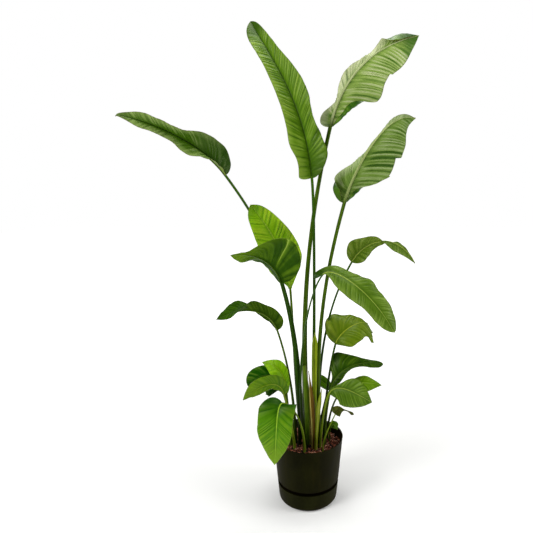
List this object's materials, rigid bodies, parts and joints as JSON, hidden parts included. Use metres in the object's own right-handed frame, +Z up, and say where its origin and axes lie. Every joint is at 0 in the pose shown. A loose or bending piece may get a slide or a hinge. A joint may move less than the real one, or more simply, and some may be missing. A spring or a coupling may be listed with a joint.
{
  "type": "potted bird of paradise",
  "caption": "Giant bird of paradise foliage plant with long stalked paddle leaves that rise and arch from a plain dark planter standing in its own round water tray.",
  "frame": {"origin": "centre of the water tray's flat underside, on the floor", "axes": "+Z up along the planter's axis, the plant's height; +X to the right and -Y towards the viewer of the picture"},
  "size_m": [1.115, 0.445, 1.985],
  "materials": {
    "planter": "matte",
    "tray": "matte",
    "soil": "rough",
    "leaf_green": "satin",
    "leaf_dark": "satin",
    "leaf_bright": "satin",
    "leaf_dry": "matte",
    "spear": "satin"
  },
  "bodies": {
    "root": {"leaf_top": "leaf_green", "leaf_upper_right": "leaf_green", "leaf_right": "leaf_green", "leaf_far_left": "leaf_dark", "leaf_back_bright": "leaf_bright", "leaf_torn": "leaf_dark", "leaf_outer_right": "leaf_green", "leaf_long_front": "leaf_green", "leaf_narrow_left": "leaf_dark", "leaf_mid_right": "leaf_green", "leaf_low_right_flat": "leaf_dark", "leaf_low_right_front": "leaf_green", "leaf_low_right_back": "leaf_bright", "leaf_low_left_back": "leaf_bright", "leaf_low_left_dark": "leaf_dark", "leaf_low_left_front": "leaf_green", "leaf_over_rim": "leaf_bright", "leaf_dry": "leaf_dry", "leaf_seedling": "leaf_green", "leaf_behind": "leaf_green", "spear": "spear", "old_sheath": "leaf_dry", "water_tray": "tray", "planter": "planter", "soil": "soil"}
  },
  "joints": []
}
